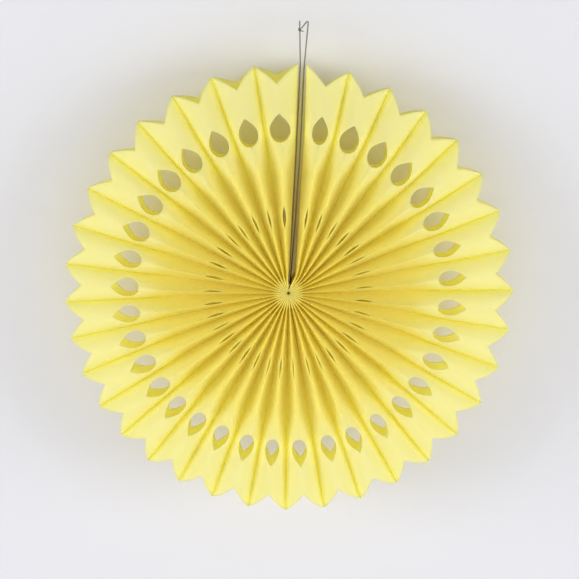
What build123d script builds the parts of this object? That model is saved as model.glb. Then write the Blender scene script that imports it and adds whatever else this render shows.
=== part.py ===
from build123d import *

import math
import os

# A paper fan rosette that hangs on a doubled line. It is a ring of paper petals: each
# petal is a flat paper sleeve, glued to its neighbours along a seam half way down its
# sides and pulled open towards the rim. The hub axis is Y, the front faces -Y, and the
# join between the two end petals is at the top, on +Z. Lengths are in millimetres.

# Paper
paper = 0.1
petal_count = 35
rim_radius = 150.0
notch_depth = 12.0
rim_edge_over = 0.5
root_radius = 2.0
hub_half_depth = 23.0
rim_half_depth = 16.0
seam_width = 2.0

# How far a petal's sides belly out, as a share of its width: 0.5 is a flat fold
hub_belly = 0.5
rim_belly = 0.7

# Places along a petal, as shares of its length: the end of the part that is pressed
# shut at the hub, the place where its folds change direction, and the uncut end
pressed_to = 0.04
bend_at = 0.5
blank_to = 1.03

# The fan is opened unevenly by hand: the seams wander from even steps, in degrees
spread_at_join = 3.75
spread_at_sides = 0.65
lean_to_right = 1.25
lean_at_sides = -0.45

# Cut-outs on every ridge, front and back
leaf_hole_inset = 41.0
leaf_hole_width = 11.5
leaf_hole_length = 18.7
leaf_hole_steps = 4
slit_radius = 50.5
slit_width = 1.4
slit_length = 15.5
slit_steps = 2
leaf_taper = 1.25

# Line: it gathers the petals' inner ends, and its two ends rise through the join
line_diameter = 0.9
line_sides = 8
gather_radius = 4.5
gather_sides = 6
gather_hole = 1.3
punch_sides = 4
join_gap_root = 2.6
join_gap_rim = 5.0
line_turn_in = 0.7
knot_height = 2.0
line_clearance = 0.05
tail_length = 2.3

# The line's route past the hub, as (x, z) places in the plane of the fan: the strands part
# at the rim, and the right one is turned back at its top to be tied to the left one
left_at_rim = (-0.7, 150.0)
left_top = (-2.7, 178.2)
right_at_rim = (1.9, 147.0)
right_top = (3.1, 179.4)
knot_at = 172.4

# The line's bends: in to the gathering loop, at the rim and at the right strand's top
turn_in_radius = 0.9
rim_bend_radius = 60.0
top_radius = 0.9

leaf_hole_radius = rim_radius - leaf_hole_inset
cut_depth = hub_half_depth + 5.0


def on_circle(radius, angle):
    """A place in the plane of the fan, clockwise from the top as seen from the front."""
    return Vector(radius * math.sin(angle), 0, radius * math.cos(angle))


def seam_angle(seam, half_gap, wander):
    """The angle of a seam, from 0 at the join's right side to petal_count at its left."""
    even = 2 * math.pi * seam / petal_count
    uneven = even + math.radians(wander)
    return half_gap + (2 * math.pi - 2 * half_gap) * uneven / (2 * math.pi)


def seam_place(seam, share):
    """A place on a seam, at a share of the way from the hub to the rim."""
    even = 2 * math.pi * seam / petal_count
    wander = (
        spread_at_join * math.sin(even)
        + spread_at_sides * math.sin(2 * even)
        + lean_to_right * (1 - math.cos(even))
        + lean_at_sides * (1 - math.cos(2 * even))
    )
    root = on_circle(root_radius, seam_angle(seam, math.asin(join_gap_root / 2 / root_radius), 0))
    rim = on_circle(rim_radius, seam_angle(seam, math.asin(join_gap_rim / 2 / rim_radius), wander))
    return root + (rim - root) * share


# The corners of a section, in order round it. A higher fold lies nearer to a ridge.
corner_folds = (0, 1, 2, 1, 0, 0, 1, 2, 1, 0)


def section_corners(half_width, half_depth, belly):
    """A petal's section: two seams, two ridges and the bellies between them."""
    seam, middle = seam_width / 2, (belly * half_width, belly * half_depth)
    quarter = ((half_width, seam), middle, (0, half_depth))
    front_right = [(x, -y) for x, y in quarter]
    return [
        *quarter,
        *[(-x, y) for x, y in quarter[1::-1]],
        *[(-x, y) for x, y in front_right[:2]],
        *front_right[::-1],
    ]


def inset(corners, wall):
    """The corners of a convex section, moved in by the thickness of its wall."""
    sides = []
    for (ax, ay), (bx, by) in zip(corners, corners[1:] + corners[:1]):
        length = math.hypot(bx - ax, by - ay)
        normal = (-(by - ay) / length, (bx - ax) / length)
        sides.append((*normal, normal[0] * ax + normal[1] * ay + wall))
    moved = []
    for (ax, ay, a), (bx, by, b) in zip(sides[-1:] + sides[:-1], sides):
        cross = ax * by - ay * bx
        moved.append(((a * by - b * ay) / cross, (ax * b - bx * a) / cross))
    return moved


def section(petal, share, wall=0):
    """The corners of a petal's section at a share of its length, in space."""
    left, right = seam_place(petal, share), seam_place(petal + 1, share)
    across = (right - left).normalized()
    half_depth = hub_half_depth + (rim_half_depth - hub_half_depth) * share
    belly = hub_belly + (rim_belly - hub_belly) * share
    corners = section_corners((right - left).length / 2, half_depth, belly)
    middle = (left + right) / 2
    if wall:
        corners = inset(corners, wall)
    return [middle + across * x + Vector(0, y, 0) for x, y in corners]


def folded_sleeve(sections):
    """A solid through the sections, with every side folded into flat facets."""
    polygons = [sections[0], sections[-1]]
    for near, far in zip(sections, sections[1:]):
        for i, fold in enumerate(corner_folds):
            j = (i + 1) % len(corner_folds)
            if fold == corner_folds[j]:
                polygons.append([near[i], near[j], far[j], far[i]])
            elif fold < corner_folds[j]:
                polygons.append([near[i], near[j], far[i]])
                polygons.append([near[j], far[j], far[i]])
            else:
                polygons.append([near[i], near[j], far[j]])
                polygons.append([near[i], far[j], far[i]])
    faces = [Face(Wire.make_polygon(corners, close=True)) for corners in polygons]
    return Solid(Shell(faces))


def leaf_outline(radius, width, length, steps):
    """A leaf-shaped cut about a ridge, blunt towards the hub and pointed towards the rim."""
    side = []
    for step in range(steps + 1):
        share = step / steps
        along = radius + length * (share**leaf_taper - 0.5)
        side.append((width / 2 * math.sin(math.pi * share), along))
    return [*side, *[(-x, y) for x, y in side[-2:0:-1]]]


def make_petal(petal):
    """One hollow petal, cut to its pointed rim, with its holes."""
    hollow_shares = (pressed_to, bend_at, blank_to)
    outside = [section(petal, share) for share in (0, *hollow_shares)]
    inside = [section(petal, share, paper) for share in hollow_shares]
    root = (seam_place(petal, 0) + seam_place(petal + 1, 0)) / 2
    left_tip, right_tip = seam_place(petal, 1), seam_place(petal + 1, 1)
    ridge_end = (left_tip + right_tip) / 2
    along = (ridge_end - root).normalized()
    across = along.cross(Vector(0, 1, 0)) * -1
    front = Plane(ridge_end - along * ridge_end.length, x_dir=across, z_dir=(0, -1, 0))
    side = Plane(front.origin, x_dir=along, z_dir=across)

    tip = Vector((right_tip - left_tip).length / 2, ridge_end.length)
    notch = Vector(0, rim_radius - notch_depth)
    edge = tip - notch
    beyond = tip + edge * rim_edge_over
    leaf_hole = leaf_outline(leaf_hole_radius, leaf_hole_width, leaf_hole_length, leaf_hole_steps)
    slit = leaf_outline(slit_radius, slit_width, slit_length, slit_steps)

    with BuildPart() as made:
        add(folded_sleeve(outside))
        add(folded_sleeve(inside), mode=Mode.SUBTRACT)
        with BuildSketch(front):
            with BuildLine():
                Polyline(notch, beyond, (-beyond.X, beyond.Y), close=True)
            make_face()
            Polygon(*leaf_hole, align=None)
            Polygon(*slit, align=None)
        extrude(amount=cut_depth, both=True, mode=Mode.SUBTRACT)
        with BuildSketch(side):
            with Locations((gather_radius, 0)):
                RegularPolygon(gather_hole / 2, punch_sides, major_radius=False)
        extrude(amount=gather_hole, both=True, mode=Mode.SUBTRACT)
    return made.part


def in_fan(place):
    """A place of the line's route, in the fan's middle plane."""
    return Vector(place[0], 0, place[1])


def make_tube(path, sides):
    """A length of line along a path, with a few flat sides, fewest where it is hidden."""
    with BuildPart() as made:
        with BuildSketch(Plane(path @ 0, z_dir=path % 0)):
            RegularPolygon(line_diameter / 2, sides)
        sweep(path=path)
    return made.part


os.makedirs("parts", exist_ok=True)
pieces = {}

for petal in range(petal_count):
    pieces[f"petal_{petal + 1:02d}"] = make_petal(petal)

# Gathering loop: through the hole in every petal, open at the join
join_angle = math.asin((join_gap_root / 2) / gather_radius)
with BuildLine() as gather_path:
    ThreePointArc(
        on_circle(gather_radius, join_angle),
        on_circle(gather_radius, math.pi),
        on_circle(gather_radius, -join_angle),
    )
pieces["gathering_loop"] = make_tube(gather_path.wires()[0], gather_sides)

# Left strand: up through the join to its own cut end
left_start = on_circle(gather_radius, -join_angle)
left_turn = left_start + Vector(math.cos(join_angle), 0, math.sin(join_angle)) * line_turn_in
with BuildLine() as left_path:
    FilletPolyline(
        left_start,
        left_turn,
        in_fan(left_at_rim),
        in_fan(left_top),
        radius=(turn_in_radius, rim_bend_radius),
    )
pieces["line_left"] = make_tube(left_path.wires()[0], line_sides)

# Knot: the other strand wound round the left one, with a short tail
left_way = (in_fan(left_top) - in_fan(left_at_rim)).normalized()
knot_place = in_fan(left_top) - left_way * ((left_top[1] - knot_at) / left_way.Z)
knot_bore = line_diameter / 2 + line_clearance
knot_radius = knot_bore + line_diameter
knot_side = Plane(knot_place, x_dir=(left_way.Z, 0, -left_way.X), z_dir=(0, -1, 0))
with BuildPart() as knot:
    with BuildSketch(knot_side):
        with BuildLine():
            Polyline(
                (knot_bore, -knot_height / 2),
                (knot_radius, -knot_height / 4),
                (knot_radius, knot_height / 4),
                (knot_bore, knot_height / 2),
                close=True,
            )
        make_face()
    revolve(axis=Axis(knot_place, left_way))
    with BuildSketch(Plane.YZ.offset(knot_place.X + knot_bore + line_diameter / 2)):
        with Locations((0, knot_place.Z - knot_height / 2 + line_diameter / 2)):
            Circle(line_diameter / 2)
    extrude(amount=tail_length)
pieces["line_knot"] = knot.part

# Right strand: up through the join, back at its top and down to the knot's shoulder
right_start = on_circle(gather_radius, join_angle)
right_turn = right_start + Vector(-math.cos(join_angle), 0, math.sin(join_angle)) * line_turn_in
shoulder = Vector((knot_bore + knot_radius) / 2, 0, knot_height * 3 / 8)
shoulder_out = Vector(knot_height / 4, 0, knot_radius - knot_bore).normalized()
right_end = knot_place + shoulder + shoulder_out * (line_diameter / 4)
with BuildLine() as right_path:
    FilletPolyline(
        right_start,
        right_turn,
        in_fan(right_at_rim),
        in_fan(right_top),
        right_end,
        radius=(turn_in_radius, rim_bend_radius, top_radius),
    )
pieces["line_right"] = make_tube(right_path.wires()[0], line_sides)

print("line radii in mm:", turn_in_radius, rim_bend_radius, top_radius)
for name, piece in pieces.items():
    piece.label = name
    export_step(piece, f"parts/{name}.step")
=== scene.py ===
# %% [markdown]
# # A paper fan rosette on a doubled line
#
# This lesson dresses a hanging party fan. The real one is a ring of paper petals, each a flat
# sleeve that is die-cut, glued to its neighbours and pulled open, and it hangs on a thin line
# that is knotted at the top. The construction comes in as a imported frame, and everything made
# here sits in that same frame, in metres: the hub is at the origin, the front faces -Y and the
# line rises along +Z.

# %% Load the frame
import math
import random

import bpy
from mathutils import Matrix, Vector


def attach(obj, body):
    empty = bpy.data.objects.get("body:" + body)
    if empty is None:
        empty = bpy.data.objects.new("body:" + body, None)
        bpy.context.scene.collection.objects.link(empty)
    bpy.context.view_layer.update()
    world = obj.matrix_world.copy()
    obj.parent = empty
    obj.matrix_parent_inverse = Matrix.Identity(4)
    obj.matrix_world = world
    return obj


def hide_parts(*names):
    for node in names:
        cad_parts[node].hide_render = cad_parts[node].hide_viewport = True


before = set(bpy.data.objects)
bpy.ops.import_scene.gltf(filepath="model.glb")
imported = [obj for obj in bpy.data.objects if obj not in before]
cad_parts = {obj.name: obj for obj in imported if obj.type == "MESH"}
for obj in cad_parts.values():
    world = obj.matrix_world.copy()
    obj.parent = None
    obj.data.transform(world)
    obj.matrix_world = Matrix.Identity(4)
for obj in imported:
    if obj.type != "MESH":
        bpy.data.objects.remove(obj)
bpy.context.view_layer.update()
scene = bpy.context.scene
scene.view_settings.view_transform = "Standard"
print("nodes in the frame:", len(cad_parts))


# %% [markdown]
# ## The camera
#
# The photograph looks a little down on the fan from about nine times its radius, and the fan
# hangs slightly turned in the picture. A camera that aims at a point near the hub, with a roll,
# says all of that in four numbers.

# %% Camera
mm = 0.001
image_width = 579
rim_radius = 150 * mm
rim_radius_in_pixels = 224.0
camera_distance = 1.35
camera_elevation = math.radians(7.0)
camera_roll = math.radians(3.2)
camera_aim = Vector((0.5 * mm, 0.0, -0.3 * mm))

camera_data = bpy.data.cameras.new("camera")
camera_data.sensor_width = 36.0
pixels_per_metre = rim_radius_in_pixels / rim_radius
camera_data.lens = camera_data.sensor_width * pixels_per_metre * camera_distance / image_width
camera = bpy.data.objects.new("camera", camera_data)
scene.collection.objects.link(camera)
scene.camera = camera
towards_camera = Vector((0, -math.cos(camera_elevation), math.sin(camera_elevation)))
camera.location = camera_aim + towards_camera * camera_distance
turned = towards_camera.to_track_quat("Z", "Y").to_matrix() @ Matrix.Rotation(camera_roll, 3, "Z")
camera.rotation_euler = turned.to_euler()
print("lens", round(camera_data.lens, 1), "mm")


# %% [markdown]
# ## Small helpers for node trees
#
# A node tree is easier to read when its rule looks like a formula. This helper adds one node for
# each step of the sum and hands back its output socket, so the steps can be nested and named. Every
# material starts as an empty tree and ends in an output node, so both have a helper too.

# %% Formula helper
class Formula:
    """Adds nodes to a tree and links what they are given, numbers or sockets."""

    def __init__(self, tree):
        self.tree = tree

    def add(self, kind, inputs=(), **settings):
        node = self.tree.nodes.new(kind)
        for name, value in settings.items():
            setattr(node, name, value)
        for key, value in dict(inputs).items():
            self.feed(node.inputs[key], value)
        return node

    def feed(self, socket, value):
        if isinstance(value, bpy.types.NodeSocket):
            self.tree.links.new(value, socket)
        else:
            socket.default_value = value

    def maths(self, operation, *values):
        node = self.add("ShaderNodeMath", enumerate(values), operation=operation)
        return node.outputs[0]

    def vectors(self, operation, *values):
        node = self.add("ShaderNodeVectorMath", enumerate(values), operation=operation)
        return node.outputs[0]

    def scaled(self, vector, factor):
        node = self.add("ShaderNodeVectorMath", {0: vector, "Scale": factor}, operation="SCALE")
        return node.outputs[0]

    def between(self, first, last, factor):
        """A place on the straight way from one point to another."""
        way = self.vectors("SUBTRACT", last, first)
        return self.vectors("ADD", first, self.scaled(way, factor))

    def ramp(self, value, start, end, low, high, smooth=False):
        """Goes from low to high while the value goes from start to end, and stays there."""
        node = self.add(
            "ShaderNodeMapRange",
            {0: value, 1: start, 2: end, 3: low, 4: high},
            interpolation_type="SMOOTHSTEP" if smooth else "LINEAR",
            clamp=True,
        )
        return node.outputs[0]

    def total(self, values):
        result = values[0]
        for value in values[1:]:
            result = self.maths("ADD", result, value)
        return result

    def length(self, vector):
        node = self.add("ShaderNodeVectorMath", {0: vector}, operation="LENGTH")
        return node.outputs["Value"]

    def surface(self, shader):
        """Ends a material with the shader's output."""
        self.add("ShaderNodeOutputMaterial", {"Surface": shader})


def start_material(name):
    material = bpy.data.materials.new(name)
    material.use_nodes = True
    material.node_tree.nodes.clear()
    return material, Formula(material.node_tree)


print("helpers for node trees are ready")


# %% [markdown]
# ## Paper
#
# The paper is thin, dyed through and uncoated: matt, a little fibrous, and light comes through
# it. A Principled shader mixed with a Translucent one gives both. The colour wanders slightly in
# soft clouds, as dyed paper does, and goes from lemon at the rim to a painted shade of deeper gold
# near the hub, in place of light bounced in the folds. Fine fibres lift the surface by a hair.

# %% Paper material
paper_colour = (0.997, 0.989, 0.7, 1.0)
paper_shade = (0.994, 0.979, 0.64, 1.0)
# Painted shade: the deeper gold that the paper turns near the hub, for light bounced in the folds.
painted_hub_shade_colour = (0.997, 0.93, 0.36, 1.0)
painted_shade_fades_from = 30 * mm
painted_shade_gone_at = 120 * mm
light_through = (0.998, 0.974, 0.38, 1.0)
translucent_share = 0.6
clouds_per_metre = 55.0
felt_per_metre = 420.0
fibres_per_metre = 2600.0
fibre_height = 0.2 * mm


def make_paper():
    material, formula = start_material("dyed_paper")
    place = formula.add("ShaderNodeTexCoord").outputs["Object"]
    clouds = formula.add(
        "ShaderNodeTexNoise", {"Vector": place, "Scale": clouds_per_metre, "Detail": 4.0, "Roughness": 0.55}
    )
    cloud = formula.ramp(clouds.outputs["Fac"], 0.35, 0.65, 0.0, 1.0)
    cloudy = formula.add("ShaderNodeMix", {0: cloud, 6: paper_colour, 7: paper_shade}, data_type="RGBA")
    # Painted shade: full deeper gold near the hub, gone towards the rim.
    clear_of_painted_shade = formula.ramp(formula.length(place), painted_shade_fades_from, painted_shade_gone_at, 0.0, 1.0, True)
    tone_and_painted_shade = formula.add(
        "ShaderNodeMix", {0: clear_of_painted_shade, 6: painted_hub_shade_colour, 7: cloudy.outputs[2]}, data_type="RGBA"
    )
    fibres = formula.add(
        "ShaderNodeTexNoise", {"Vector": place, "Scale": fibres_per_metre, "Detail": 3.0, "Roughness": 0.6}
    )
    felt = formula.add(
        "ShaderNodeTexNoise", {"Vector": place, "Scale": felt_per_metre, "Detail": 2.0, "Roughness": 0.5}
    )
    grain = formula.maths("ADD", fibres.outputs["Fac"], felt.outputs["Fac"])
    bump = formula.add("ShaderNodeBump", {"Height": grain, "Strength": 0.12, "Distance": fibre_height})
    roughness = formula.ramp(fibres.outputs["Fac"], 0.3, 0.7, 0.72, 0.9)
    surface = formula.add(
        "ShaderNodeBsdfPrincipled",
        {
            "Base Color": tone_and_painted_shade.outputs[2],
            "Roughness": roughness,
            "Specular IOR Level": 0.25,
            "Normal": bump.outputs["Normal"],
        },
    )
    through = formula.add(
        "ShaderNodeBsdfTranslucent", {"Color": light_through, "Normal": bump.outputs["Normal"]}
    )
    both = formula.add(
        "ShaderNodeMixShader",
        {0: translucent_share, 1: surface.outputs["BSDF"], 2: through.outputs["BSDF"]},
    )
    formula.surface(both.outputs["Shader"])
    return material


paper = make_paper()
print("made", paper.name)


# %% [markdown]
# ## Petals: rows and cut-outs
#
# A petal of the real fan is a flat paper sleeve, die-cut, glued to its neighbours and pulled open. All
# of them follow one rule, so one Geometry Nodes tree makes them. A quarter of a petal is a grid: its
# rows run from the hub to the rim, and its columns from the glued seam to the ridge. A cut-out on the
# ridge could be a Boolean, but that leaves ragged edges in such thin paper. Here the columns stop
# short of the ridge instead, which leaves a clean edge, and the rows close up at the cut-out's ends.

# %% Rows and cut-outs
root_radius = 2.0 * mm
pressed_until = 12.0 * mm
slit_radius = 50.5 * mm
slit_length = 15.5 * mm
leaf_radius = 109.0 * mm
leaf_length = 18.7 * mm
leaf_widest_at = 0.45
leaf_inner_power = 2.2
leaf_outer_power = 1.75

slit_start, slit_end = slit_radius - slit_length / 2, slit_radius + slit_length / 2
leaf_start, leaf_end = leaf_radius - leaf_length / 2, leaf_radius + leaf_length / 2

# Rows from the hub outwards: where a zone ends, its number of rows, and whether the rows close up
# at the zone's ends
row_zones = (
    (pressed_until, 7, False),
    (slit_start, 9, False),
    (slit_end, 10, True),
    (leaf_start, 13, False),
    (leaf_end, 18, True),
    (rim_radius, 12, False),
)
row_count = sum(rows for _, rows, _ in row_zones)
arch_columns = 14


def row_radius(formula, row):
    """The distance from the hub of each row."""
    steps, start, done = [root_radius], root_radius, 0
    for end, rows, close_at_ends in row_zones:
        steps.append(formula.ramp(row, done, done + rows, 0.0, end - start, close_at_ends))
        start, done = end, done + rows
    return formula.total(steps)


def leaf_half_width(formula, radius, width):
    """Half the width of the leaf-shaped hole: round towards the hub and pointed towards the rim."""
    along = formula.ramp(radius, leaf_start, leaf_end, 0.0, 1.0)
    inner = formula.ramp(along, 0.0, leaf_widest_at, 1.0, 0.0)
    outer = formula.ramp(along, leaf_widest_at, 1.0, 0.0, 1.0)
    inner_power = formula.maths("POWER", inner, leaf_inner_power)
    round_end = formula.maths("SQRT", formula.maths("SUBTRACT", 1.0, inner_power))
    point = formula.maths("SUBTRACT", 1.0, formula.maths("POWER", outer, leaf_outer_power))
    shape = formula.maths("MULTIPLY", round_end, point)
    return formula.maths("MULTIPLY", formula.maths("MULTIPLY", shape, 0.5), width)


def slit_half_width(formula, radius, width):
    along = formula.ramp(radius, slit_start, slit_end, 0.0, math.pi)
    shape = formula.maths("SINE", along)
    return formula.maths("MULTIPLY", formula.maths("MULTIPLY", shape, 0.5), width)


print("a quarter of a petal has", row_count, "rows and", arch_columns, "columns over its arch")


# %% [markdown]
# ## Petals: the section
#
# Cut across, a petal is a sharp fold over its inner part and a flat-topped arch beyond the holes. Two
# meshes could be blended, but a superellipse is both: close to 1 its exponent gives a straight fold
# with a sharp ridge, and a higher one an arch. It is highest at the hub itself, where the ends are
# pressed into a disc. The glue that holds two petals together is a broad band near the hub and a
# narrow one further out, so the valleys get deeper on the way to the rim.

# %% Section
hub_depth = 23.0 * mm
depth_lost_by_fold = 1.3 * mm
depth_lost_by_arch = 4.2 * mm
depth_lost_by_rim = 3.4 * mm
pressed_from = 4.0 * mm
arch_starts = 78.0 * mm
arch_ends = 110.0 * mm
arch_when_pressed = 5.0
arch_of_fold = 0.9
arch_of_rim = 2.0
glue_at_hub = 17.0 * mm
glue_ends = 80.0 * mm
seam_half_width = 2.5 * mm
widest_cut_share = 0.9


def section_depth(formula, radius):
    """How far the ridge stands out from the middle plane of the fan."""
    return formula.total(
        [
            formula.ramp(radius, root_radius, arch_starts, hub_depth, hub_depth - depth_lost_by_fold),
            formula.ramp(radius, arch_starts, arch_ends, 0.0, -depth_lost_by_arch, True),
            formula.ramp(radius, arch_ends, rim_radius, 0.0, -depth_lost_by_rim),
        ]
    )


def section_exponent(formula, radius, arch):
    """The superellipse's exponent, from the pressed ends to the fold and on to the arch."""
    arch_lost = arch_when_pressed - arch_of_fold
    pressed = formula.ramp(radius, pressed_from, pressed_until, arch_lost, 0.0, True)
    opened = formula.ramp(radius, arch_starts, arch_ends, 0.0, 1.0, True)
    opening = formula.maths("MULTIPLY", opened, formula.maths("SUBTRACT", arch, arch_of_fold))
    return formula.total([pressed, opening, arch_of_fold])


def section_angle(formula, radius, column, half_width, half_exponent, given):
    """The angle of each column. The last one is at the edge of a cut-out, or else at the ridge."""
    cut = formula.maths(
        "ADD",
        leaf_half_width(formula, radius, given["Leaf hole width"]),
        slit_half_width(formula, radius, given["Slit width"]),
    )
    cut_share = formula.maths("MINIMUM", formula.maths("DIVIDE", cut, half_width), widest_cut_share)
    last_angle = formula.maths("ARCCOSINE", formula.maths("POWER", cut_share, half_exponent))
    step = formula.ramp(column, 1.0, float(arch_columns + 1), 0.0, 1.0)
    return formula.maths("MULTIPLY", step, last_angle)


def section_point(formula, radius, column, half_width, depth, given):
    """How far across a point of the section lies, as a share of the half width, and how high."""
    half_exponent = formula.maths("MULTIPLY", section_exponent(formula, radius, given["Arch"]), 0.5)
    angle = section_angle(formula, radius, column, half_width, half_exponent, given)
    power = formula.maths("DIVIDE", 1.0, half_exponent)
    cosine = formula.maths("MAXIMUM", formula.maths("COSINE", angle), 0.0)
    across = formula.maths("POWER", cosine, power)
    rise = formula.maths("POWER", formula.maths("SINE", angle), power)
    glued = formula.ramp(radius, pressed_until, glue_ends, glue_at_hub, seam_half_width)
    on_seam = formula.ramp(column, 0.0, 1.0, 0.0, glued)
    above_seam = formula.maths("MULTIPLY", rise, formula.maths("SUBTRACT", depth, glued))
    return across, formula.maths("ADD", on_seam, above_seam)


rim_depth = hub_depth - depth_lost_by_fold - depth_lost_by_arch - depth_lost_by_rim
print("half depth in mm, hub and rim:", round(hub_depth / mm, 1), round(rim_depth / mm, 1))


# %% [markdown]
# ## Petals: seams, rim and ridges
#
# The rim of each sleeve is die-cut to a point at its seams and a notch at its ridges. It could be cut
# off like the holes, but pulling the last rows in towards the hub keeps the grid whole. Some seams are
# bowed, because the line in the join pushes them aside, so each has a bow that is added to its straight
# way. The ridges lean together at the hub and sway a little on the way out, as handled paper does.

# %% Seams, rim and ridges
notch_radius = 138.0 * mm
rim_bulge = 0.25
bow_full_from = 15.0 * mm
bow_full_to = 100.0 * mm
bow_lost_at_rim = 0.6


def share_of_length(radius):
    return (radius - root_radius) / (rim_radius - root_radius)


def seams_at(formula, given, radius, share):
    """The places of a petal's left and right seams at a share of its length."""
    bowed = formula.maths(
        "ADD",
        formula.ramp(radius, root_radius, bow_full_from, 0.0, 1.0, True),
        formula.ramp(radius, bow_full_to, rim_radius, 0.0, -bow_lost_at_rim, True),
    )
    places = []
    for side in ("Left", "Right"):
        straight = formula.between(given[side + " root"], given[side + " rim"], share)
        bow = formula.scaled(given[side + " bow"], bowed)
        places.append(formula.vectors("ADD", straight, bow))
    return places


def cut_seams(formula, given, radius, share, across, notch):
    """The seams' places with the rim cut: the edges from notch to points bulge a little."""
    bulge = formula.maths("MULTIPLY", formula.maths("SUBTRACT", 1.0, across), rim_bulge)
    edge = formula.maths("MULTIPLY", across, formula.maths("ADD", bulge, 1.0))
    past_hole = formula.ramp(share, share_of_length(leaf_end), 1.0, 0.0, 1.0)
    end_share = formula.ramp(edge, 0.0, 1.0, notch, 1.0)
    pulled_in = formula.maths("MULTIPLY", past_hole, formula.maths("SUBTRACT", end_share, 1.0))
    return seams_at(formula, given, radius, formula.maths("ADD", share, pulled_in))


def ridge_shift(formula, given, radius, share, risen):
    """The lean and sway of a ridge, for a point that has risen by a share of the depth."""
    leaning = formula.ramp(radius, root_radius, pressed_until, 1.0, 0.0, True)
    lean = formula.scaled(given["Hub lean"], leaning)
    swaying = formula.maths("SINE", formula.maths("MULTIPLY", share, math.pi))
    sway = formula.scaled(given["Sway"], swaying)
    return formula.scaled(formula.vectors("ADD", lean, sway), risen)


print("the notch is at", round(share_of_length(notch_radius), 3), "of a petal's length")


# %% [markdown]
# ## Petals: quarters and waves
#
# A sleeve is the same on both sides of its ridges, in front and behind. So one grid is placed four
# times, and the quarters are joined and welded where they meet. A Mirror modifier would need an object
# for each petal's plane, and the front and back differ near the join. Handled paper is never quite
# flat: slow waves of noise move its points, and die out towards the hub.

# %% Quarters and waves
weld_distance = 0.004 * mm
waves_per_metre = 26.0
wave_height = 0.7 * mm
waves_from = 20.0 * mm
waves_full_at = 100.0 * mm


def join_quarters(formula, grid, front_seams, back_seams, across, height, shift):
    quarters = formula.add("GeometryNodeJoinGeometry")
    for side in (1, -1):
        for face, seams in ((-1, front_seams), (1, back_seams)):
            to_side = formula.maths("MULTIPLY", across, float(side))
            flat = formula.between(*seams, formula.ramp(to_side, -1.0, 1.0, 0.0, 1.0))
            outwards = formula.maths("MULTIPLY", height, float(face))
            out = formula.add("ShaderNodeCombineXYZ", {"Y": outwards}).outputs[0]
            place = formula.vectors("ADD", formula.vectors("ADD", flat, shift), out)
            quarter = formula.add("GeometryNodeSetPosition", {"Geometry": grid, "Position": place})
            quarter = quarter.outputs["Geometry"]
            if side == face:
                quarter = formula.add("GeometryNodeFlipFaces", {"Mesh": quarter}).outputs["Mesh"]
            formula.feed(quarters.inputs["Geometry"], quarter)
    joined = quarters.outputs["Geometry"]
    welded = formula.add("GeometryNodeMergeByDistance", {"Geometry": joined, "Distance": weld_distance})
    return welded.outputs["Geometry"]


def add_waves(formula, paper):
    where = formula.add("GeometryNodeInputPosition").outputs[0]
    noise = formula.add(
        "ShaderNodeTexNoise", {"Vector": where, "Scale": waves_per_metre, "Detail": 1.0}
    )
    centred = formula.vectors("SUBTRACT", noise.outputs["Color"], (0.5, 0.5, 0.5))
    amount = formula.ramp(formula.length(where), waves_from, waves_full_at, 0.0, wave_height)
    offset = formula.scaled(centred, amount)
    waved = formula.add("GeometryNodeSetPosition", {"Geometry": paper, "Offset": offset})
    return waved.outputs["Geometry"]


print("waves of about", round(1 / waves_per_metre / mm), "mm in the paper")


# %% [markdown]
# ## Petals: the tree
#
# The helpers above are the petal's rule, and this tree puts them together. What differs from petal to
# petal comes in through the tree's inputs: the seams, the lean and sway of the ridges, how far the
# back layer has slipped, and the widths of the cut-outs.

# %% Petal tree
vector_inputs = (
    "Left root", "Left rim", "Right root", "Right rim", "Left bow", "Right bow", "Hub lean", "Sway"
)
number_inputs = ("Back slip", "Leaf hole width", "Slit width", "Arch")


def petal_inputs(tree):
    kinds = {name: "NodeSocketVector" for name in vector_inputs}
    kinds.update({name: "NodeSocketFloat" for name in number_inputs})
    kinds["Material"] = "NodeSocketMaterial"
    for name, kind in kinds.items():
        tree.interface.new_socket(name, in_out="INPUT", socket_type=kind)
    tree.interface.new_socket("Petal", in_out="OUTPUT", socket_type="NodeSocketGeometry")
    return tree.nodes.new("NodeGroupInput").outputs


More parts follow.
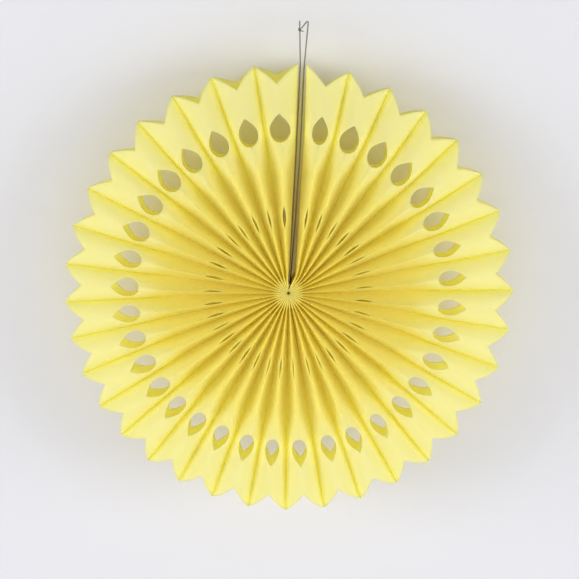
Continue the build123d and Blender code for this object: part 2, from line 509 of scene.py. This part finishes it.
def make_petal_tree():
    tree = bpy.data.node_groups.new("petal", "GeometryNodeTree")
    given = petal_inputs(tree)
    formula = Formula(tree)

    # The grid gives each point its row and column
    grid = formula.add(
        "GeometryNodeMeshGrid",
        {"Size X": 1.0, "Size Y": 1.0, "Vertices X": row_count + 1, "Vertices Y": arch_columns + 2},
    )
    spot = formula.add("ShaderNodeSeparateXYZ", {0: formula.add("GeometryNodeInputPosition").outputs[0]})
    row_share = formula.maths("ADD", spot.outputs["X"], 0.5)
    column_share = formula.maths("ADD", spot.outputs["Y"], 0.5)
    radius = row_radius(formula, formula.maths("MULTIPLY", row_share, float(row_count)))
    column = formula.maths("MULTIPLY", column_share, float(arch_columns + 1))

    # The section at this row
    share = formula.ramp(radius, root_radius, rim_radius, 0.0, 1.0)
    left, right = seams_at(formula, given, radius, share)
    width = formula.length(formula.vectors("SUBTRACT", right, left))
    half_width = formula.maths("MULTIPLY", width, 0.5)
    depth = section_depth(formula, radius)
    across, height = section_point(formula, radius, column, half_width, depth, given)

    # The rim and the ridges
    notch = share_of_length(notch_radius)
    back_notch = formula.maths("ADD", given["Back slip"], notch)
    front_seams = cut_seams(formula, given, radius, share, across, notch)
    back_seams = cut_seams(formula, given, radius, share, across, back_notch)
    risen = formula.maths("DIVIDE", height, depth)
    shift = ridge_shift(formula, given, radius, share, risen)

    # The whole petal
    mesh = grid.outputs["Mesh"]
    petal = join_quarters(formula, mesh, front_seams, back_seams, across, height, shift)
    petal = add_waves(formula, petal)
    smooth = formula.add("GeometryNodeSetShadeSmooth", {"Geometry": petal})
    real = formula.add("GeometryNodeRealizeInstances", {"Geometry": smooth.outputs["Geometry"]})
    dyed = formula.add(
        "GeometryNodeSetMaterial", {"Geometry": real.outputs["Geometry"], "Material": given["Material"]}
    )
    formula.add("NodeGroupOutput", {"Petal": dyed.outputs["Geometry"]})
    return tree


petal_tree = make_petal_tree()
print("petal tree has", len(petal_tree.nodes), "nodes")


# %% [markdown]
# ## Where each petal lies
#
# The seams run from a small root circle to the rim. The fan was opened by hand, so they wander from
# even steps: wide near the join at the top, closer at the sides. The line in the join pushes the
# seams beside it to the right, which leaves a dark gap above the hub. At the hub the folded ridges
# are pressed together into a full ring in front of the line, so each leans a little there.

# %% Places of the seams
petal_count = 35
join_gap_root = 2.6 * mm
join_gap_rim = 5.0 * mm
spread_at_join = 3.75
spread_at_sides = 0.65
lean_to_right = 1.25
lean_at_sides = -0.45
ridge_root_radius = 0.9 * mm
bow_right_of_join = 2.5 * mm
bow_left_of_join = 1.0 * mm
bowed_seams = 7


def on_circle(radius, angle):
    """A place in the plane of the fan, clockwise from the top as seen from the front."""
    return Vector((radius * math.sin(angle), 0.0, radius * math.cos(angle)))


def seam_angle(seam, half_gap, wander):
    uneven = 2 * math.pi * seam / petal_count + math.radians(wander)
    return half_gap + (2 * math.pi - 2 * half_gap) * uneven / (2 * math.pi)


def seam_root(seam):
    return on_circle(root_radius, seam_angle(seam, math.asin(join_gap_root / 2 / root_radius), 0.0))


def seam_rim(seam):
    even = 2 * math.pi * seam / petal_count
    wander = (
        spread_at_join * math.sin(even)
        + spread_at_sides * math.sin(2 * even)
        + lean_to_right * (1 - math.cos(even))
        + lean_at_sides * (1 - math.cos(2 * even))
    )
    return on_circle(rim_radius, seam_angle(seam, math.asin(join_gap_rim / 2 / rim_radius), wander))


def seam_bow(seam):
    """The line pushes the join to the right between hub and rim, and the next seams give way."""
    along = seam_rim(seam).normalized()
    clockwise = Vector((along.z, 0.0, -along.x))
    right = bow_right_of_join * max(0.0, 1 - seam / bowed_seams)
    left = bow_left_of_join * max(0.0, 1 - (petal_count - seam) / bowed_seams)
    return clockwise * (right + left)


def hub_lean(petal):
    """From the middle of a petal's root to its place in the full ring of ridges."""
    middle = (seam_root(petal) + seam_root(petal + 1)) / 2
    return on_circle(ridge_root_radius, 2 * math.pi * (petal + 0.5) / petal_count) - middle


print("first seam at the rim:", [round(value, 4) for value in seam_rim(0)])


# %% [markdown]
# ## Making the petals
#
# Each petal is its own piece, because each stands for one petal of the frame. The tree is run
# once for each with that petal's seams, a Solidify modifier gives the paper its thickness, and the
# result is kept as a plain mesh.

# %% Petal pieces
paper_thickness = 0.12 * mm
leaf_hole_width = 11.4 * mm
leaf_hole_stretch = 1.6 * mm
stretched_towards = math.radians(-30.0)
slit_width = 1.5 * mm
hole_width_at_join = {0: 10.6 * mm, petal_count - 1: 14.0 * mm}
slit_width_at_join = {petal_count - 1: 2.6 * mm}
back_slip_from_join = {1: 0.04, 2: 0.03, 3: 0.024}
hole_varies = 0.05
slit_varies = 0.2
arch_varies = 0.35
ridge_sways = 0.9 * mm
unevenness = random.Random(35)


def hole_width(petal):
    """The holes are pulled wider where the fan is opened wider, up and to the left."""
    turn = 2 * math.pi * (petal + 0.5) / petal_count - stretched_towards
    width = leaf_hole_width + leaf_hole_stretch * math.cos(turn)
    return width * unevenness.uniform(1 - hole_varies, 1 + hole_varies)


def uneven_slit_width():
    return slit_width * unevenness.uniform(1 - slit_varies, 1 + slit_varies)


def set_inputs(modifier, values):
    names = {item.name: item.identifier for item in modifier.node_group.interface.items_tree}
    for name, value in values.items():
        modifier[names[name]] = value


def make_petal(petal):
    name = f"petal_{petal + 1:02d}"
    holder = bpy.data.objects.new(name + "_holder", bpy.data.meshes.new(name + "_holder"))
    scene.collection.objects.link(holder)
    folding = holder.modifiers.new("folding", "NODES")
    folding.node_group = petal_tree
    across = (seam_rim(petal + 1) - seam_rim(petal)).normalized()
    set_inputs(
        folding,
        {
            "Left root": seam_root(petal),
            "Left rim": seam_rim(petal),
            "Right root": seam_root(petal + 1),
            "Right rim": seam_rim(petal + 1),
            "Left bow": seam_bow(petal),
            "Right bow": seam_bow(petal + 1),
            "Hub lean": hub_lean(petal),
            "Sway": across * unevenness.uniform(-ridge_sways, ridge_sways),
            "Back slip": back_slip_from_join.get(petal_count - petal, 0.0),
            "Leaf hole width": hole_width_at_join.get(petal, hole_width(petal)),
            "Slit width": slit_width_at_join.get(petal, uneven_slit_width()),
            "Arch": arch_of_rim + unevenness.uniform(-arch_varies, arch_varies),
            "Material": paper,
        },
    )
    walls = holder.modifiers.new("walls", "SOLIDIFY")
    walls.thickness = paper_thickness
    walls.offset = -1.0
    evaluated = holder.evaluated_get(bpy.context.evaluated_depsgraph_get())
    mesh = bpy.data.meshes.new_from_object(evaluated)
    bpy.data.objects.remove(holder)
    mesh.name = name + "_paper"
    piece = bpy.data.objects.new(name + "_paper", mesh)
    scene.collection.objects.link(piece)
    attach(piece, "root")
    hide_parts(name)
    return piece


petals = [make_petal(petal) for petal in range(petal_count)]
triangles = sum(len(face.vertices) - 2 for piece in petals for face in piece.data.polygons)
print("petals:", len(petals), "triangles:", triangles)


# %% [markdown]
# ## The line's finish
#
# The real line is thin nylon, grey and half clear. Glass-like plastic would all but vanish against the
# pale wall, and the photograph's line reads as grey, so a Principled shader has a grey base and lets
# only half of the light through. Fine streaks vary its roughness.

# %% Line material
line_colour = (0.3, 0.27, 0.235, 1.0)
streaks_per_metre = 900.0


def make_line_finish():
    material, formula = start_material("clear_nylon")
    place = formula.add("ShaderNodeTexCoord").outputs["Object"]
    streaks = formula.add("ShaderNodeTexNoise", {"Vector": place, "Scale": streaks_per_metre, "Detail": 2.0})
    roughness = formula.ramp(streaks.outputs["Fac"], 0.3, 0.7, 0.36, 0.5)
    nylon = formula.add(
        "ShaderNodeBsdfPrincipled",
        {
            "Base Color": line_colour,
            "Roughness": roughness,
            "Specular IOR Level": 0.3,
            "IOR": 1.53,
            "Transmission Weight": 0.5,
        },
    )
    formula.surface(nylon.outputs["BSDF"])
    return material


nylon = make_line_finish()
print("made", nylon.name)


# %% [markdown]
# ## The strands
#
# The line gathers the petals at the hub, and its two strands rise through the join. The left one ends
# in a cut end, and the right one bends over and is tied to it. Each strand is a spline along the route
# of the frame's own line. A straight tube for each stretch would break at the corners. The points
# beside a corner keep the line straight up to it and round as it turns.

# %% Strands
line_diameter = 0.9 * mm
gather_radius = 4.5 * mm
line_turn_in = 0.7 * mm
left_in_join = Vector((0.1 * mm, 0.0, 60.0 * mm))
right_in_join = Vector((2.7 * mm, 0.0, 70.0 * mm))
left_at_rim = Vector((-0.7 * mm, 0.0, 150.0 * mm))
left_top = Vector((-2.7 * mm, 0.0, 178.2 * mm))
right_at_rim = Vector((1.9 * mm, 0.0, 147.0 * mm))
right_top = Vector((3.1 * mm, 0.0, 179.4 * mm))
knot_height = 172.4 * mm
knot_shoulder = Vector((1.06 * mm, 0.0, 0.95 * mm))
bend_reach = 2.4 * mm
long_reach = 40.0 * mm
bend_cuts = (1.0, 0.7)

join_angle = math.asin(join_gap_root / 2 / gather_radius)
left_start = on_circle(gather_radius, -join_angle)
right_start = on_circle(gather_radius, join_angle)
left_turn = left_start + Vector((math.cos(join_angle), 0.0, math.sin(join_angle))) * line_turn_in
right_turn = right_start + Vector((-math.cos(join_angle), 0.0, math.sin(join_angle))) * line_turn_in
left_way = (left_top - left_at_rim).normalized()
knot_place = left_top - left_way * ((left_top.z - knot_height) / left_way.z)
right_end = knot_place + knot_shoulder


def make_tube(name, points, radius, steps):
    """A round tube of nylon along a smooth curve, with a number of steps from point to point."""
    data = bpy.data.curves.new(name, "CURVE")
    data.dimensions = "3D"
    spline = data.splines.new("NURBS")
    spline.points.add(len(points) - 1)
    for point, place in zip(spline.points, points):
        point.co = (*place, 1.0)
    spline.order_u = 3
    spline.use_endpoint_u = True
    spline.resolution_u = steps
    data.bevel_depth = radius
    data.bevel_resolution = 4
    data.use_fill_caps = True
    data.materials.append(nylon)
    tube = bpy.data.objects.new(name, data)
    scene.collection.objects.link(tube)
    return tube


def make_strand(name, points):
    piece = make_tube(name, points, line_diameter / 2, steps=12)
    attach(piece, "root")
    return piece


def with_bends(corners, reaches):
    """The corners of a route, each cut by points before and after it, so that the line bends there."""
    points = [corners[0]]
    for before, corner, after, reach in zip(corners, corners[1:], corners[2:], reaches):
        back, on = (before - corner).normalized(), (after - corner).normalized()
        points.extend(corner + back * reach * part for part in bend_cuts)
        points.extend(corner + on * reach * part for part in reversed(bend_cuts))
    return [*points, corners[-1]]


left_points = with_bends(
    [left_start, left_turn, left_in_join, left_at_rim, left_top],
    [line_turn_in / 2, long_reach, bend_reach],
)
right_points = with_bends(
    [right_start, right_turn, right_in_join, right_at_rim, right_top, right_end],
    [line_turn_in / 2, long_reach, bend_reach, bend_reach],
)
left_strand = make_strand("left_strand", left_points)
right_strand = make_strand("right_strand", right_points)
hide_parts("line_left")
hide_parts("line_right")
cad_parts["gathering_loop"].data.materials.clear()
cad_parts["gathering_loop"].data.materials.append(nylon)
print("strands:", len(left_points), "and", len(right_points), "points")


# %% [markdown]
# ## The knot
#
# The right strand is wound round the left one and pulled tight, and its end stands out as a short
# tail. A helix worked out in a loop is enough, made a tube by a curve's bevel and then a plain mesh.

# %% Knot
knot_turns = 2.6
knot_points_per_turn = 14
knot_pitch = 0.64 * mm
knot_line_radius = 0.32 * mm
tail_reach = Vector((1.9 * mm, -0.2 * mm, -0.1 * mm))


def knot_path():
    count = round(knot_turns * knot_points_per_turn)
    radius = line_diameter / 2 + knot_line_radius
    places = []
    for step in range(count + 1):
        turn = 2 * math.pi * step / knot_points_per_turn
        height = (step / knot_points_per_turn - knot_turns / 2) * knot_pitch
        spoke = Vector((math.cos(turn), -math.sin(turn), 0.0)) * radius
        places.append(knot_place + spoke + left_way * height)
    return [places[0] + tail_reach, *places]


def make_knot():
    holder = make_tube("knot_holder", knot_path(), knot_line_radius, steps=3)
    evaluated = holder.evaluated_get(bpy.context.evaluated_depsgraph_get())
    mesh = bpy.data.meshes.new_from_object(evaluated)
    bpy.data.objects.remove(holder)
    mesh.shade_smooth()
    piece = bpy.data.objects.new("knot", mesh)
    scene.collection.objects.link(piece)
    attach(piece, "root")
    return piece


knot = make_knot()
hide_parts("line_knot")
print("knot:", len(knot.data.polygons), "faces")


# %% [markdown]
# ## The strands' lengths
#
# On the real fan the strands are soft. Their lengths are measured along the points of the routes and
# printed, so they stay right if a route changes.

# %% Strand lengths
def length_of(points):
    return sum((after - before).length for before, after in zip(points, points[1:]))


lengths = [round(length_of(points) / mm, 1) for points in (left_points, right_points)]
print("strand lengths in mm:", *lengths)


# %% [markdown]
# ## Floor and wall
#
# The fan hangs in front of a plain pale wall, close enough for a soft shadow, above a plain floor.
# The wall is square to the view, so it is nearer to the fan at the top. A plain sheet would hide the
# fan from behind, so the wall's shader is clear on its back, and the fan's back can be looked at too.

# %% Stage
wall_behind = 50.0 * mm
wall_lean = math.tan(camera_elevation)
floor_below = 1.3
stage_size = 6.0
wall_colour = (0.77, 0.765, 0.8, 1.0)


def make_sheet(name, corners, colour, one_sided):
    material, formula = start_material(name)
    result = formula.add("ShaderNodeBsdfDiffuse", {"Color": colour}).outputs["BSDF"]
    if one_sided:
        behind = formula.add("ShaderNodeNewGeometry").outputs["Backfacing"]
        clear = formula.add("ShaderNodeBsdfTransparent")
        sides = formula.add("ShaderNodeMixShader", {0: behind, 1: result, 2: clear.outputs["BSDF"]})
        result = sides.outputs["Shader"]
    formula.surface(result)
    mesh = bpy.data.meshes.new(name)
    mesh.from_pydata(corners, [], [(0, 1, 2, 3)])
    mesh.materials.append(material)
    piece = bpy.data.objects.new(name, mesh)
    scene.collection.objects.link(piece)


half = stage_size / 2
floor_corners = ((-half, -half), (half, -half), (half, half), (-half, half))
wall_corners = ((-half, -floor_below), (half, -floor_below), (half, half), (-half, half))
make_sheet("floor", [(x, y, -floor_below) for x, y in floor_corners], wall_colour, False)
make_sheet("wall", [(x, wall_behind - wall_lean * z, z) for x, z in wall_corners], wall_colour, True)
print("floor and wall are set")


# %% [markdown]
# ## Light
#
# In the photograph the folds at the sides are lit to the bottom, and those at the top and bottom only
# on their ridges. A lamp in front would light all folds alike, so the main lamps stand far out to the
# left and right, level with the fan: their light runs along the folds at the sides and across the
# others. A weak strip in front and a weaker lamp below fill these a little. Light in a deep fold of
# pale paper bounces many times, and the bounce limits are raised to let it.

# %% Lamps
lamp_level = -0.04
side_lamp_out = 1.55
side_lamp_front = -0.98
side_lamp_power = 14.2
world_colour = (0.93, 0.94, 0.96, 1.0)
world_strength = 0.45


def make_lamp(name, place, width, height, power):
    data = bpy.data.lights.new(name, "AREA")
    data.shape = "RECTANGLE"
    data.size = width
    data.size_y = height
    data.energy = power
    lamp = bpy.data.objects.new(name, data)
    lamp.location = place
    lamp.rotation_euler = Vector(place).to_track_quat("Z", "Y").to_euler()
    scene.collection.objects.link(lamp)


for name, out in (("left_lamp", -side_lamp_out), ("right_lamp", side_lamp_out)):
    place = (out, side_lamp_front, lamp_level)
    make_lamp(name, place, width=1.2, height=0.8, power=side_lamp_power)
make_lamp("wide_lamp", (0.0, -1.7, lamp_level), width=3.0, height=0.3, power=6.0)
make_lamp("low_lamp", (0.0, -1.3, -1.1), width=1.0, height=0.6, power=2.0)
world = bpy.data.worlds.new("studio")
world.use_nodes = True
background = world.node_tree.nodes["Background"]
background.inputs["Color"].default_value = world_colour
background.inputs["Strength"].default_value = world_strength
scene.world = world
scene.cycles.max_bounces = 32
scene.cycles.diffuse_bounces = 24
scene.cycles.transmission_bounces = 24
print("lamps are set")
